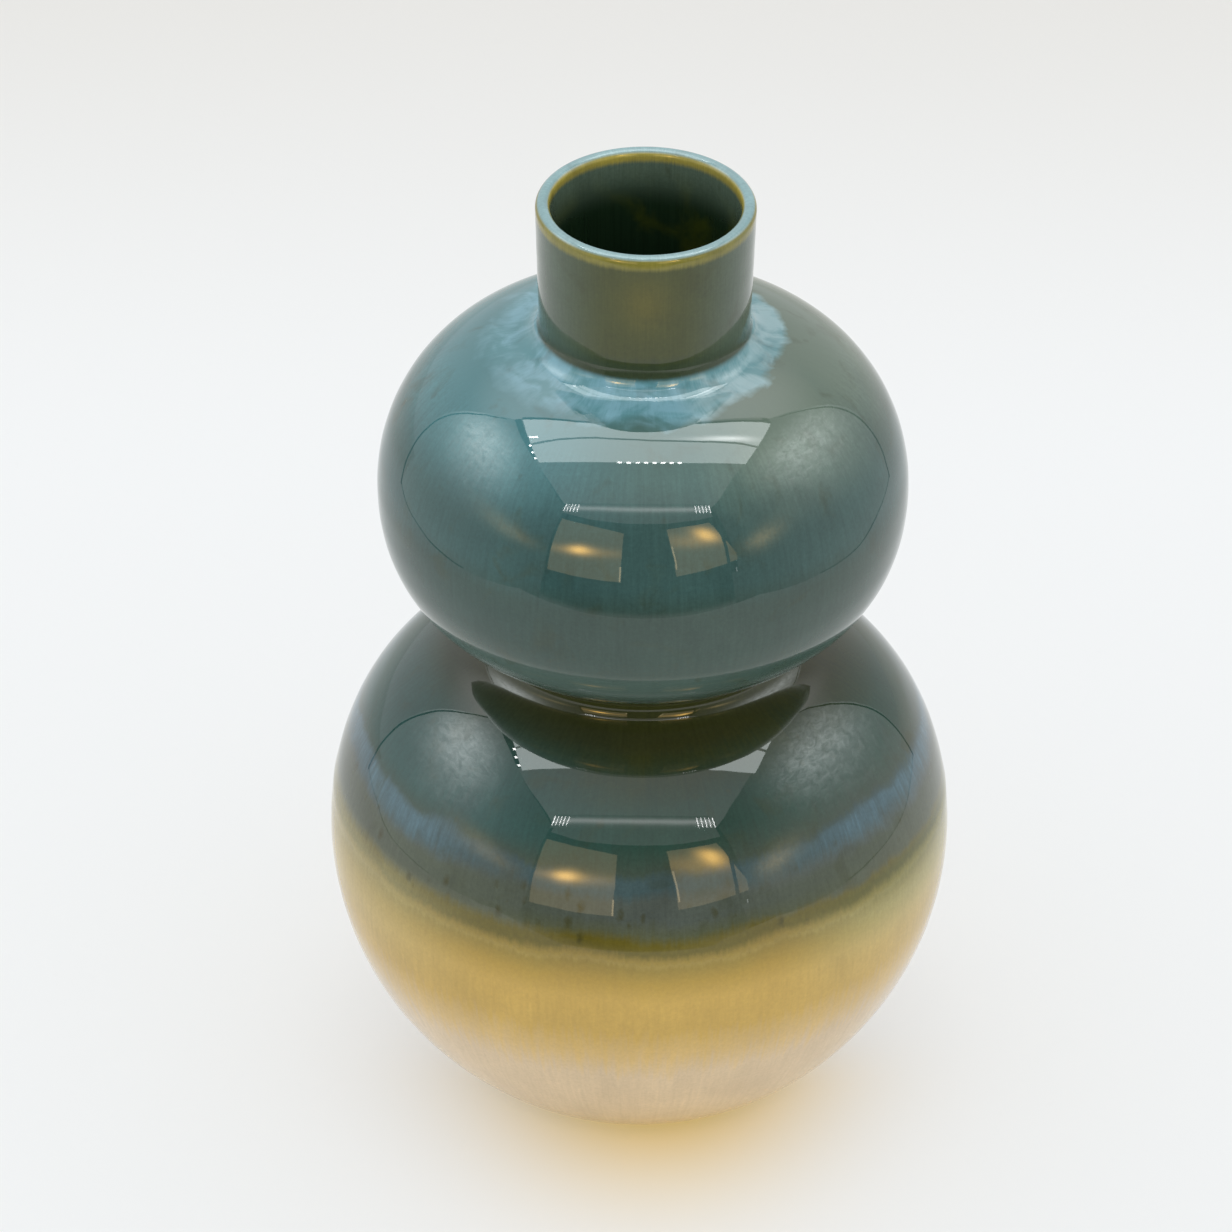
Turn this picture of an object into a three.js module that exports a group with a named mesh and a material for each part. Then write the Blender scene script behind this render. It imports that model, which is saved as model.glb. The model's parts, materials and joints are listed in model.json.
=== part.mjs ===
// Stoneware double-gourd vase: a wide lower belly, a narrow waist, a smaller upper belly and a short neck.
// Four thrown belly sections, a neck collar and a foot ring are luted together with slip at notched rims.
// Three bands of glaze cover the outside, the top one wraps over the lip, and a liner covers the inside.
import * as THREE from 'three';

// Heights in millimetres, stacked up from the surface that the vase stands on.
const footHeight = 4;
const lowerBellyBelow = 77.7; // flat underside to the lower belly's widest ring
const lowerBellyAbove = 68.2; // that ring to the crease of the waist
const upperBellyBelow = 53.1; // crease of the waist to the upper belly's widest ring
const upperBellyAbove = 50.2; // that ring to the crease under the neck
const neckLength = 46.8; // crease under the neck to the top of the lip
const lipHeight = 2.15;

// Radii of the outside, glaze included.
const footRadius = 47;
const footWidth = 8;
const undersideRadius = 52.7;
const lowerBellyRadius = 93.6;
const waistRadius = 45;
const upperBellyRadius = 79.1;
const neckFootRadius = 31.4;
const lipRadius = 32.6;

// Length of wall that each soft crease takes up on either side.
const waistEasingBelow = 14;
const waistEasingAbove = 7.5;
const neckEasing = 8;

// Thicknesses.
const bodyWall = 6.5; // clay and both glazes
const neckWall = 4.3;
const glaze = 0.6;
const bond = 0.05; // hair gap between fired layers
const slip = 0.8; // layer of slip in each joint
const rimNotch = 1.5; // depth of the V cut in each rim

// Where one glaze ends and the next begins.
const tealFoot = 92.8; // height of the teal glaze's lower edge
const ochreBand = 34; // height of the ochre glaze below it
const tealInMouth = 12; // depth that the teal glaze reaches inside the mouth

// How each side of a belly bends: how far it stays upright beside the widest ring, then how wide and how far
// back the handle stands that leads into its end. All are shares of that side's own height or width.
const lowerUnderBend = { upright: 0.405, wide: 0.607, back: 0.224 };
const lowerShoulderBend = { upright: 0.42, wide: 0.73, back: 0.13 };
const upperUnderBend = { upright: 0.77, wide: 0.05, back: 0.2 };
const upperShoulderBend = { upright: 0.47, wide: 0.66, back: 0.02 };

// Facets around the vase and along each stretch of its outline.
const facetsAround = 32;
const bellySteps = 5;
const creaseSteps = 4;
const lipSteps = 6;
const sameHeight = 0.01; // outline points closer than this in height count as one

// Heights of the rings that the outline runs through.
const lowerWidest = footHeight + lowerBellyBelow;
const waist = lowerWidest + lowerBellyAbove;
const upperWidest = waist + upperBellyBelow;
const neckFoot = upperWidest + upperBellyAbove;
const rim = neckFoot + neckLength;
const lipFoot = rim - lipHeight;
const ochreFoot = tealFoot - ochreBand;

// One side of a belly, from its widest ring to the ring that ends it, stopping short by the crease's easing.
function bellySide(widest, end, bend, easing) {
  const rise = end.y - widest.y;
  const curve = new THREE.CubicBezierCurve(
    widest,
    new THREE.Vector2(widest.x, widest.y + bend.upright * rise),
    new THREE.Vector2(end.x + bend.wide * (widest.x - end.x), end.y - bend.back * rise),
    end,
  );
  const share = 1 - easing / curve.getLength();
  return Array.from({ length: bellySteps + 1 }, (_, i) => curve.getPointAt((share * i) / bellySteps));
}

// The soft bend that joins two stretches around their corner, without its two ends.
function crease(from, corner, to) {
  return new THREE.QuadraticBezierCurve(from, corner, to).getPoints(creaseSteps).slice(1, -1);
}

// The outside of the vase from its underside to the foot of the lip.
function outsideOutline() {
  const lowerRing = new THREE.Vector2(lowerBellyRadius, lowerWidest);
  const upperRing = new THREE.Vector2(upperBellyRadius, upperWidest);
  const underside = new THREE.Vector2(undersideRadius, footHeight);
  const waistCorner = new THREE.Vector2(waistRadius, waist);
  const neckCorner = new THREE.Vector2(neckFootRadius, neckFoot);
  const neckStart = new THREE.Vector2(neckFootRadius, neckFoot + neckEasing);
  const lipStart = new THREE.Vector2(lipRadius, lipFoot);

  const lowerUnder = bellySide(lowerRing, underside, lowerUnderBend, 0).reverse();
  const lowerShoulder = bellySide(lowerRing, waistCorner, lowerShoulderBend, waistEasingBelow);
  const upperUnder = bellySide(upperRing, waistCorner, upperUnderBend, waistEasingAbove).reverse();
  const upperShoulder = bellySide(upperRing, neckCorner, upperShoulderBend, neckEasing);
  const waistCrease = crease(lowerShoulder.at(-1), waistCorner, upperUnder[0]);
  const neckCrease = crease(upperShoulder.at(-1), neckCorner, neckStart);
  return {
    points: [
      ...lowerUnder,
      ...lowerShoulder.slice(1),
      ...waistCrease,
      ...upperUnder,
      ...upperShoulder.slice(1),
      ...neckCrease,
      neckStart,
      lipStart,
    ],
    waistMiddle: waistCrease[creaseSteps / 2 - 1].y,
  };
}

const { points: outside, waistMiddle: waistJoint } = outsideOutline();
const wallAt = (height) => (height > neckFoot + neckEasing / 2 ? neckWall : bodyWall);

// The outside outline moved inwards, square to each stretch, by a depth worked out from the wall there.
function inset(depthFor) {
  return outside.map((point, i) => {
    const before = outside[Math.max(i - 1, 0)];
    const after = outside[Math.min(i + 1, outside.length - 1)];
    const inward = [[before, point], [point, after]]
      .map(([from, to]) => to.clone().sub(from).normalize())
      .filter((along) => along.lengthSq() > 0)
      .map((along) => new THREE.Vector2(-along.y, along.x));
    const [first, second = first] = inward;
    const mitre = first.clone().add(second).divideScalar(1 + first.dot(second));
    return point.clone().addScaledVector(mitre, depthFor(wallAt(point.y)));
  });
}

// The faces between the layers, from the outside in.
const glazeBack = inset(() => glaze);
const clayFace = inset(() => glaze + bond);
const clayBack = inset((wall) => wall - glaze - bond);
const linerBack = inset((wall) => wall - glaze);
const hollow = inset((wall) => wall);

// The point of an outline at a height, on its end stretch carried on where the outline falls short.
function atHeight(outline, height) {
  const reached = outline.findIndex((point, i) => i > 0 && point.y >= height);
  const i = reached < 0 ? outline.length - 1 : reached;
  const from = outline[i - 1];
  const to = outline[i];
  return from.clone().lerp(to, (height - from.y) / (to.y - from.y));
}

// The stretch of an outline between two heights, from the lower to the upper.
function between(outline, low, high) {
  const inside = outline.filter((point) => point.y > low + sameHeight && point.y < high - sameHeight);
  return [atHeight(outline, low), ...inside, atHeight(outline, high)];
}

// The rounded top of a layer, from its outer face over to its inner face, without the two ends.
function lip(outer, inner, depth) {
  const from = atHeight(outer, lipFoot).x;
  const to = atHeight(inner, lipFoot).x;
  const halfWidth = (from - to) / 2;
  const arc = new THREE.EllipseCurve((from + to) / 2, lipFoot, halfWidth, lipHeight - depth, 0, Math.PI);
  return arc.getPoints(lipSteps).slice(1, -1);
}

// The low point of the V across a joint, half way through the clay.
function notch(height) {
  const middle = (atHeight(clayFace, height).x + atHeight(clayBack, height).x) / 2;
  return new THREE.Vector2(middle, height - rimNotch);
}

const onAxis = (height) => new THREE.Vector2(0, height);

// A solid turned about the vertical axis from a profile that runs up the outside and down the inside.
function turned(name, profile, material) {
  const closed = profile[0].x === 0 ? profile : [...profile, profile[0]];
  const geometry = new THREE.LatheGeometry(closed, facetsAround);
  geometry.rotateX(Math.PI / 2);
  const mesh = new THREE.Mesh(geometry, material);
  mesh.name = name;
  return mesh;
}

// The profile of a stretch of clay wall, with a V across both rims so that it sits in the stretch below.
function wallProfile(low, high) {
  return [
    notch(low),
    ...between(clayFace, low, high),
    notch(high),
    ...between(clayBack, low, high).reverse(),
  ];
}

// A clay section between two joints.
function claySection(name, lowerJoint, upperJoint) {
  return turned(name, wallProfile(lowerJoint + slip / 2, upperJoint - slip / 2), clay);
}

// The ring of slip that fills the joint between two sections.
function slipRing(name, joint) {
  return turned(name, wallProfile(joint - slip / 2, joint + slip / 2), slipClay);
}

// The bowl that closes the bottom, with its floor.
function lowerBowl(joint) {
  const high = joint - slip / 2;
  const floor = footHeight + bodyWall - glaze - bond;
  const profile = [
    onAxis(footHeight),
    ...between(clayFace, footHeight, high),
    notch(high),
    ...between(clayBack, floor, high).reverse(),
    onAxis(floor),
  ];
  return turned('lower_bowl', profile, clay);
}

function neckCollar(joint) {
  const low = joint + slip / 2;
  const profile = [
    notch(low),
    ...between(clayFace, low, lipFoot),
    ...lip(clayFace, clayBack, glaze + bond),
    ...between(clayBack, low, lipFoot).reverse(),
  ];
  return turned('neck_collar', profile, clay);
}

// A flat-sided ring, such as the foot.
function flatRing(name, low, high, material) {
  const inner = footRadius - footWidth;
  const profile = [[inner, low], [footRadius, low], [footRadius, high], [inner, high]];
  return turned(name, profile.map(([radius, height]) => new THREE.Vector2(radius, height)), material);
}

// A band of glaze on the outside between two heights.
function glazeBand(name, low, high, material) {
  const profile = [...between(outside, low, high), ...between(glazeBack, low, high).reverse()];
  return turned(name, profile, material);
}

// The top glaze, which runs over the lip and a little way down inside the mouth.
function tealCoat() {
  const mouthEdge = rim - tealInMouth;
  const profile = [
    ...between(outside, tealFoot, lipFoot),
    ...lip(outside, hollow, 0),
    ...between(hollow, mouthEdge, lipFoot).reverse(),
    ...between(linerBack, mouthEdge, lipFoot),
    ...lip(glazeBack, linerBack, glaze).reverse(),
    ...between(glazeBack, tealFoot, lipFoot).reverse(),
  ];
  return turned('teal_glaze', profile, tealGlaze);
}

function glazeLiner() {
  const mouthEdge = rim - tealInMouth;
  const floor = footHeight + bodyWall;
  const profile = [
    onAxis(floor - glaze),
    ...between(linerBack, floor - glaze, mouthEdge),
    ...between(hollow, floor, mouthEdge).reverse(),
    onAxis(floor),
  ];
  return turned('inner_glaze', profile, linerGlaze);
}

const clay = new THREE.MeshStandardMaterial({ color: 0xc9b797, roughness: 0.85, metalness: 0 });
const slipClay = new THREE.MeshStandardMaterial({ color: 0xb9a27e, roughness: 0.95, metalness: 0 });
const tealGlaze = new THREE.MeshStandardMaterial({ color: 0x41625f, roughness: 0.12, metalness: 0 });
const ochreGlaze = new THREE.MeshStandardMaterial({ color: 0xb59a5c, roughness: 0.12, metalness: 0 });
const creamGlaze = new THREE.MeshStandardMaterial({ color: 0xc9c0aa, roughness: 0.15, metalness: 0 });
const linerGlaze = new THREE.MeshStandardMaterial({ color: 0x1f3a2c, roughness: 0.15, metalness: 0 });

const neckJoint = neckFoot + neckEasing;
const footJoint = footHeight - slip;

const claySections = new THREE.Group();
claySections.add(
  flatRing('foot_ring', 0, footJoint, clay),
  lowerBowl(lowerWidest),
  claySection('lower_shoulder', lowerWidest, waistJoint),
  claySection('upper_bowl', waistJoint, upperWidest),
  claySection('upper_shoulder', upperWidest, neckJoint),
  neckCollar(neckJoint),
);

const slipJoints = new THREE.Group();
slipJoints.add(
  flatRing('foot_slip', footJoint, footHeight, slipClay),
  slipRing('lower_belly_slip', lowerWidest),
  slipRing('waist_slip', waistJoint),
  slipRing('upper_belly_slip', upperWidest),
  slipRing('neck_slip', neckJoint),
);

const glazes = new THREE.Group();
glazes.add(
  tealCoat(),
  glazeBand('ochre_glaze', ochreFoot, tealFoot, ochreGlaze),
  glazeBand('cream_glaze', footHeight, ochreFoot, creamGlaze),
  glazeLiner(),
);

const vase = new THREE.Group();
vase.add(claySections, slipJoints, glazes);

export default vase;
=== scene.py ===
"""Double-gourd stoneware vase: turned clay sections, slip joints and flowing glazes, in a light tent."""

import json
import math

import bmesh
import bpy
from bpy.props import FloatProperty, FloatVectorProperty, IntProperty, PointerProperty
from bpy.types import Operator, Panel, PropertyGroup
from mathutils import Matrix, Vector

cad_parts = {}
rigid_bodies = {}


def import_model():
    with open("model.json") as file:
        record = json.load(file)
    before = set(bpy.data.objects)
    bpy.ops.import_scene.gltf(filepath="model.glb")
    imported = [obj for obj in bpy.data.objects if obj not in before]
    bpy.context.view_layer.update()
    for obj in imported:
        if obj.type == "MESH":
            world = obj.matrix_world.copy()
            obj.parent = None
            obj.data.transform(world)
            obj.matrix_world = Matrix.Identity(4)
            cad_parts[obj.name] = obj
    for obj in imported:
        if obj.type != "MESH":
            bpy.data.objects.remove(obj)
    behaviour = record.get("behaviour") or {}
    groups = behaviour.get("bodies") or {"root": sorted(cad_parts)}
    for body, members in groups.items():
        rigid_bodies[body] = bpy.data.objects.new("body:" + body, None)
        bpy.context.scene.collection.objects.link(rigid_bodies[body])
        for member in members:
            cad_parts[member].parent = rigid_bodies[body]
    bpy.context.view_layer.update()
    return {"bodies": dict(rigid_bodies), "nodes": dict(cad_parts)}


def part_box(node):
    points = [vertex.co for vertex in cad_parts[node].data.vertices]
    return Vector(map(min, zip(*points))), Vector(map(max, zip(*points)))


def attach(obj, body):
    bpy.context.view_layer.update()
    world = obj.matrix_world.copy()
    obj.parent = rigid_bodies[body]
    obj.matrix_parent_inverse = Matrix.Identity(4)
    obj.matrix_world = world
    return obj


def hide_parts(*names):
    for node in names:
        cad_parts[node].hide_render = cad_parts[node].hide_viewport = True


bl_info = {
    "name": "Stoneware gourd vase",
    "version": (1, 0, 0),
    "blender": (4, 5, 0),
    "location": "3D View > Sidebar > Vase",
    "description": "Turns and glazes a double-gourd vase around its measured sections",
    "category": "Object",
}

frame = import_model()
MM = 0.001
BODY = next(iter(frame["bodies"]))


def top_of(node):
    """Height of a section's highest point."""
    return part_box(node)[1].z


def foot_of(node):
    """Height of a section's lowest point."""
    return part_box(node)[0].z


def ring_radius(node, height):
    """Radius of the widest ring of a section at one height."""
    near = 0.05 * MM
    points = [v.co for v in frame["nodes"][node].data.vertices if abs(v.co.z - height) < near]
    return max(math.hypot(p.x, p.y) for p in points)


SLIP = top_of("foot_slip") - foot_of("foot_slip")
FOOT_HEIGHT = top_of("foot_slip")
LOWER_WIDEST = top_of("lower_belly_slip") - SLIP / 2
WAIST_JOINT = top_of("waist_slip") - SLIP / 2
UPPER_WIDEST = top_of("upper_belly_slip") - SLIP / 2
NECK_JOINT = top_of("neck_slip") - SLIP / 2
TEAL_FOOT = foot_of("teal_glaze")
OCHRE_FOOT = foot_of("ochre_glaze")
RIM = top_of("teal_glaze")
MOUTH_EDGE = top_of("inner_glaze")


def length(name, text, default):
    """A length property, in metres."""
    return FloatProperty(name=name, description=text, default=default, unit="LENGTH", precision=5)


def angle(name, text, degrees):
    """An angle property, its default given in degrees."""
    return FloatProperty(name=name, description=text, default=math.radians(degrees), subtype="ANGLE")


def number(name, text, default):
    """A property that is a plain number."""
    return FloatProperty(name=name, description=text, default=default)


def count(name, text, default):
    """A property that is a whole number."""
    return IntProperty(name=name, description=text, default=default, min=0, max=512)


def colour(name, text, *default):
    """A linear colour property."""
    return FloatVectorProperty(name=name, description=text, default=default, subtype="COLOR", size=3, min=0)


def bend(name, *default):
    """How one side of a belly bends, as shares of its height and width."""
    text = "Upright stretch, width and set-back of the far handle"
    return FloatVectorProperty(name=name, description=text, default=default, size=3)


class VaseSizes(PropertyGroup):
    """Outside sizes of the vase, glaze included, and the thickness of its layers."""

    foot_radius: length("Foot radius", "Outer radius of the foot ring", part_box("foot_ring")[1].x)
    foot_width: length("Foot width", "Width of the foot ring's face", 8 * MM)
    underside_radius: length(
        "Underside radius", "Edge of the flat underside", ring_radius("cream_glaze", FOOT_HEIGHT)
    )
    lower_radius: length("Lower belly radius", "Widest ring of the lower belly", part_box("ochre_glaze")[1].x)
    waist_radius: length("Waist radius", "Corner of the waist before it is softened", 45 * MM)
    waist_height: length("Waist height", "Height of that corner", 149.9 * MM)
    upper_radius: length(
        "Upper belly radius", "Widest ring of the upper belly", ring_radius("teal_glaze", UPPER_WIDEST)
    )
    neck_radius: length("Neck radius", "Neck at its foot", ring_radius("teal_glaze", NECK_JOINT))
    lip_radius: length("Lip radius", "Neck just below the lip", 32.6 * MM)
    lip_height: length("Lip height", "Rounded part of the lip", 2.15 * MM)
    waist_easing_below: length("Waist easing below", "Wall that the crease takes up below it", 14 * MM)
    waist_easing_above: length("Waist easing above", "Wall that the crease takes up above it", 7.5 * MM)
    neck_easing: length("Neck easing", "Wall that the neck's crease takes up on either side", 8 * MM)
    body_wall: length("Body wall", "Clay and both glazes below the neck", 6.5 * MM)
    neck_wall: length("Neck wall", "Clay and both glazes of the neck", 4.3 * MM)
    glaze: length("Glaze", "Thickness of each glaze coat", 0.6 * MM)
    bond: length("Bond", "Hair gap between fired layers", 0.05 * MM)
    rim_notch: length("Rim notch", "Depth of the V in each rim", 1.5 * MM)
    lower_under: bend("Lower belly, under", 0.405, 0.607, 0.224)
    lower_shoulder: bend("Lower belly, shoulder", 0.42, 0.73, 0.13)
    upper_under: bend("Upper belly, under", 0.77, 0.05, 0.2)
    upper_shoulder: bend("Upper belly, shoulder", 0.47, 0.66, 0.02)


class WheelMarks(PropertyGroup):
    """How finely the vase is turned, and the marks that the wheel and the kiln left."""

    around: count("Around", "Facets around a glaze coat", 256)
    around_clay: count("Around clay", "Facets around a clay section", 128)
    wobble: length("Wobble", "Depth of the broad unevenness", 0.16 * MM)
    wobble_span: length("Wobble span", "Distance between its swellings", 55 * MM)
    ring_depth: length("Throwing rings", "Depth of the spiral left by the fingers", 0.03 * MM)
    ring_pitch: length("Ring pitch", "Rise of that spiral in one turn", 9 * MM)
    roll: length("Glaze roll", "How far the teal coat's lower edge stands out", 0.16 * MM)
    roll_span: length("Roll span", "Height over which the roll rises and falls", 2.2 * MM)
    seed: count("Seed", "Seed of the unevenness", 7)


class GlazeColours(PropertyGroup):
    """Colours of the fired surfaces, as linear values. Some also carry painted shade, highlights and
    reflections.
    """

    cream: colour("Cream", "Pale coat at the bottom", 0.70, 0.54, 0.34)
    biscuit: colour("Biscuit", "Where the cream coat meets the amber band", 0.66, 0.46, 0.18)
    ochre: colour("Ochre", "Amber band", 0.58, 0.38, 0.085)
    honey: colour("Honey", "Ochre near the break line", 0.44, 0.29, 0.05)
    syrup: colour("Syrup", "Ochre stained by the teal coat above", 0.31, 0.22, 0.04)
    hairline: colour("Hairline", "Pale line where the two coats meet", 0.335, 0.245, 0.055)
    olive: colour("Olive", "Teal coat run thin over ochre", 0.135, 0.11, 0.015)
    slate_green: colour("Slate green", "Between the olive line and the blue-grey band", 0.098, 0.108, 0.062)
    slate: colour("Slate", "Violet-grey band above the olive line", 0.082, 0.098, 0.082)
    stain: colour("Stain", "That band at the sides", 0.075, 0.09, 0.055)
    milky: colour("Milky", "Thin blue band above it", 0.056, 0.092, 0.094)
    storm: colour("Storm", "The blue band at the sides", 0.085, 0.155, 0.19)
    lichen: colour("Lichen", "Grey green above the blue band", 0.05, 0.072, 0.052)
    deep: colour("Deep teal", "Where the coat is thick and clear", 0.025, 0.061, 0.044)
    deep_blue: colour("Deep blue", "That coat on the left side", 0.028, 0.085, 0.08)
    # Moss glaze in the mossy blots; in the waist crease the same colour also serves as painted shade.
    moss: colour("Moss", "Where the coat is thin, at the waist", 0.042, 0.046, 0.012)
    under_teal: colour("Under teal", "Underside of the upper belly", 0.042, 0.076, 0.06)
    teal: colour("Teal", "Body of the coat", 0.045, 0.095, 0.087)
    shoulder: colour("Shoulder", "Upper shoulder", 0.07, 0.145, 0.13)
    shoulder_blue: colour("Shoulder blue", "Left of the upper shoulder", 0.08, 0.23, 0.26)
    # Painted reflection tint: the left flank of the upper belly turned bluer where it mirrors a brighter
    # floor.
    blue_wash: colour("Blue wash", "Tints the left side", 0.82, 1.0, 1.06)
    grey_green: colour("Grey green", "Dry side of the upper shoulder", 0.14, 0.19, 0.145)
    # Painted reflection of the pale floor, in a ring low on the underside of the upper belly.
    mist: colour("Mist", "Pale ring low on the underside of the upper belly", 0.085, 0.128, 0.108)
    # Painted sheen: lightens the ochre towards both flanks as seen.
    straw: colour("Straw", "Lightens the ochre on both sides", 0.50, 0.46, 0.24)
    dry_wash: colour("Dry wash", "Tints the ochre on the right side", 0.68, 0.90, 1.3)
    pool: colour("Pool", "Light blue where the coat gathers", 0.22, 0.44, 0.53)
    pool_pale: colour("Pale pool", "The pools on the right", 0.32, 0.50, 0.54)
    pool_deep: colour("Deep pool", "Darker veins of the pools", 0.115, 0.30, 0.34)
    # Painted dark reflection of the shoulder and painted shade, in the crease at the foot of the neck.
    neck_foot: colour("Neck foot", "Dark line around the foot of the neck", 0.045, 0.062, 0.03)
    neck: colour("Neck", "Olive of the neck", 0.060, 0.070, 0.016)
    neck_side: colour("Neck side", "Grey green sides of the neck", 0.072, 0.11, 0.075)
    amber_patch: colour("Amber patch", "Warm patch on the neck", 0.12, 0.105, 0.012)
    amber: colour("Amber", "Outer edge of the lip", 0.24, 0.215, 0.04)
    # Amber glaze brightened into a painted highlight along the inner edge of the lip.
    gold: colour("Gold", "Inner edge of the lip", 0.44, 0.37, 0.075)
    lip: colour("Lip", "Top of the lip", 0.24, 0.40, 0.42)
    speck: colour("Speck", "Iron specks", 0.05, 0.046, 0.01)
    # The liner lightened by a painted reflection, just under the lip.
    mouth: colour("Mouth", "Inside, just under the lip", 0.12, 0.175, 0.13)
    liner: colour("Liner", "Dark green inside", 0.017, 0.04, 0.019)
    liner_moss: colour("Liner moss", "Mossy runs inside", 0.042, 0.058, 0.01)
    liner_dark: colour("Liner dark", "Dark runs inside", 0.010, 0.024, 0.011)
    clay: colour("Clay", "Bare fired clay", 0.50, 0.39, 0.26)
    slip: colour("Slip", "Fired slip in the joints", 0.40, 0.29, 0.18)


class StudioSetup(PropertyGroup):
    """Camera, floor and light."""

    distance: length("Camera distance", "From the point aimed at", 3.2609)
    elevation: angle("Elevation", "Camera above the horizon", 33.658)
    yaw: angle("Yaw", "Camera turned from the aim point", -0.134)
    roll: angle("Roll", "Camera tipped about its line of sight", 0.625)
    aim_height: length("Aim height", "Point on the vase's axis that the camera looks at", 154.24 * MM)
    lens: number("Lens", "Focal length in millimetres", 317.8)
    floor_colour: colour("Floor", "Plain pale sweep", 0.895, 0.915, 0.925)
    floor_warmth: colour("Floor warmth", "The sweep right in front of the foot", 0.96, 0.72, 0.30)
    warm_reach: length("Warm reach", "How far that warmth reaches from the axis", 0.0647)
    floor_far: colour("Floor, far", "The sweep well behind the vase", 0.777, 0.769, 0.74)
    floor_glow: number("Floor glow", "Share of the sweep's own light as seen", 0.5)
    sky: number("Sky", "Strength of the all-round light", 0.85)
    backdrop: number("Backdrop", "Strength of what lies behind the floor", 0.87)
    fabric: number("Fabric", "Strength of the tent as the glaze mirrors it", 0.92)
    fabric_rise: number("Fabric rise", "How much brighter it is near its roof", 1.6)
    overhead: number("Overhead", "Power of the overhead light, in watts", 17.0)
    tent_reach: length("Tent reach", "Distance of the tent's front in the reflections", 6)


def bezier(knots, steps):
    """Points along the cubic curve with these four knots."""
    points = []
    for i in range(steps + 1):
        t = i / steps
        a, b, c, d = ((1 - t) ** 3, 3 * t * (1 - t) ** 2, 3 * t * t * (1 - t), t**3)
        points.append(a * knots[0] + b * knots[1] + c * knots[2] + d * knots[3])
    return points


def spaced(points, steps, left_off):
    """The same line with evenly spaced points, stopping short of its end."""
    lengths = [0.0]
    for before, after in zip(points, points[1:]):
        lengths.append(lengths[-1] + (after - before).length)
    step = (lengths[-1] - left_off) / steps
    result = []
    i = 0
    for n in range(steps + 1):
        while i < len(points) - 2 and lengths[i + 1] < n * step:
            i += 1
        share = (n * step - lengths[i]) / (lengths[i + 1] - lengths[i])
        result.append(points[i].lerp(points[i + 1], share))
    return result


def belly_side(widest, end, shares, easing):
    """One side of a belly, from its widest ring towards the ring that ends it."""
    fine, steps = 600, 40
    upright, wide, back = shares
    rise = end.y - widest.y
    knots = [
        widest,
        Vector((widest.x, widest.y + upright * rise)),
        Vector((end.x + wide * (widest.x - end.x), end.y - back * rise)),
        end,
    ]
    return spaced(bezier(knots, fine), steps, easing)


def crease(start, corner, end):
    """The soft bend that joins two stretches around their corner, without its two ends."""
    steps = 12
    knots = [start, start.lerp(corner, 2 / 3), end.lerp(corner, 2 / 3), end]
    return bezier(knots, steps)[1:-1]


def outside_outline(sizes):
    """The outside from the underside to the foot of the lip, as points of radius and height."""
    neck_steps = 24
    lower_ring = Vector((sizes.lower_radius, LOWER_WIDEST))
    upper_ring = Vector((sizes.upper_radius, UPPER_WIDEST))
    underside = Vector((sizes.underside_radius, FOOT_HEIGHT))
    waist = Vector((sizes.waist_radius, sizes.waist_height))
    neck_corner = Vector((sizes.neck_radius, NECK_JOINT - sizes.neck_easing))
    neck_start = Vector((sizes.neck_radius, NECK_JOINT))
    lip_start = Vector((sizes.lip_radius, RIM - sizes.lip_height))

    lower_under = belly_side(lower_ring, underside, sizes.lower_under, 0)[::-1]
    lower_shoulder = belly_side(lower_ring, waist, sizes.lower_shoulder, sizes.waist_easing_below)
    upper_under = belly_side(upper_ring, waist, sizes.upper_under, sizes.waist_easing_above)[::-1]
    upper_shoulder = belly_side(upper_ring, neck_corner, sizes.upper_shoulder, sizes.neck_easing)
    return [
        *lower_under,
        *lower_shoulder[1:],
        *crease(lower_shoulder[-1], waist, upper_under[0]),
        *upper_under,
        *upper_shoulder[1:],
        *crease(upper_shoulder[-1], neck_corner, neck_start),
        *(neck_start.lerp(lip_start, i / neck_steps) for i in range(neck_steps + 1)),
    ]


def smooth_share(low, high, value):
    """0 below low, 1 above high and a soft S between them."""
    t = min(max((value - low) / (high - low), 0), 1)
    return t * t * (3 - 2 * t)


def inset(outline, depth_at):
    """The outline moved inwards, square to itself, by a depth worked out from each point's height."""
    moved = []
    for i, point in enumerate(outline):
        before = outline[max(i - 1, 0)]
        after = outline[min(i + 1, len(outline) - 1)]
        along = (after - before).normalized()
        moved.append(point + Vector((-along.y, along.x)) * depth_at(point.y))
    return moved


def at_height(line, height):
    """The point of a line at a height, on its end stretch carried on where the line falls short."""
    i = next((i for i in range(1, len(line)) if line[i].y >= height), len(line) - 1)
    start, end = line[i - 1], line[i]
    return start.lerp(end, (height - start.y) / (end.y - start.y))


def between(line, low, high):
    """The stretch of a line between two heights, from the lower to the upper."""
    same = 0.01 * MM
    inside = [p for p in line if low + same < p.y < high - same]
    return [at_height(line, low), *inside, at_height(line, high)]


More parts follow.
